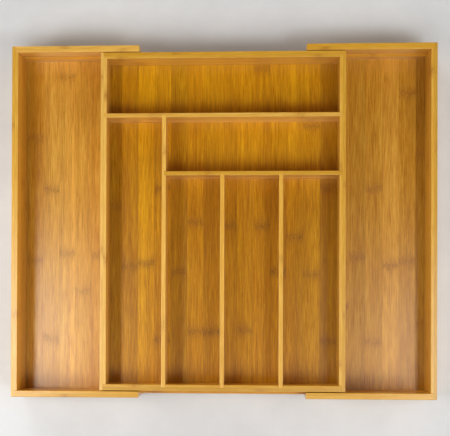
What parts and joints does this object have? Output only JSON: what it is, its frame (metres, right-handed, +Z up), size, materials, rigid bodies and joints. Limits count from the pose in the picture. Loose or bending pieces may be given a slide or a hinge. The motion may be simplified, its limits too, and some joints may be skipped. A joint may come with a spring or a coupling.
{
  "type": "expandable drawer organizer",
  "caption": "Divided bamboo cutlery tray with a U-shaped tray at each end that slides out on rails to widen it across a drawer.",
  "frame": {"origin": "middle of the footprint on the surface that the tray stands on, with both extension trays pulled out", "axes": "+X to the right, along both slides; +Y to the back, where the long cross compartment is; +Z up"},
  "size_m": [0.5412, 0.45, 0.064],
  "materials": {
    "wall_bamboo": "satin lacquered laminated bamboo, rims showing long lamination lines",
    "divider_bamboo": "satin lacquered bamboo strip, edge grain at the rim",
    "center_floor_bamboo": "flat-pressed bamboo panel with nodes, satin",
    "extension_floor_bamboo": "flat-pressed bamboo panel with nodes, satin",
    "rail_bamboo": "sanded bamboo lath, rubbed smooth where it runs"
  },
  "bodies": {
    "center_tray": {"center_left_wall": "wall_bamboo", "center_right_wall": "wall_bamboo", "center_back_wall": "wall_bamboo", "center_front_wall": "wall_bamboo", "center_floor": "center_floor_bamboo", "back_cross_divider": "divider_bamboo", "short_cross_divider": "divider_bamboo", "long_divider": "divider_bamboo", "left_short_divider": "divider_bamboo", "right_short_divider": "divider_bamboo", "back_rail": "rail_bamboo", "front_rail": "rail_bamboo"},
    "left_extension": {"left_end_wall": "wall_bamboo", "left_back_side_wall": "wall_bamboo", "left_front_side_wall": "wall_bamboo", "left_floor": "extension_floor_bamboo", "left_stop_lath": "rail_bamboo"},
    "right_extension": {"right_end_wall": "wall_bamboo", "right_back_side_wall": "wall_bamboo", "right_front_side_wall": "wall_bamboo", "right_floor": "extension_floor_bamboo", "right_stop_lath": "rail_bamboo"}
  },
  "joints": [
    {"name": "left_slide", "type": "slide", "parent": "center_tray", "child": "left_extension", "axis": [1, 0, 0], "range_m": [0, 0.106]},
    {"name": "right_slide", "type": "slide", "parent": "center_tray", "child": "right_extension", "axis": [-1, 0, 0], "range_m": [0, 0.106]}
  ]
}
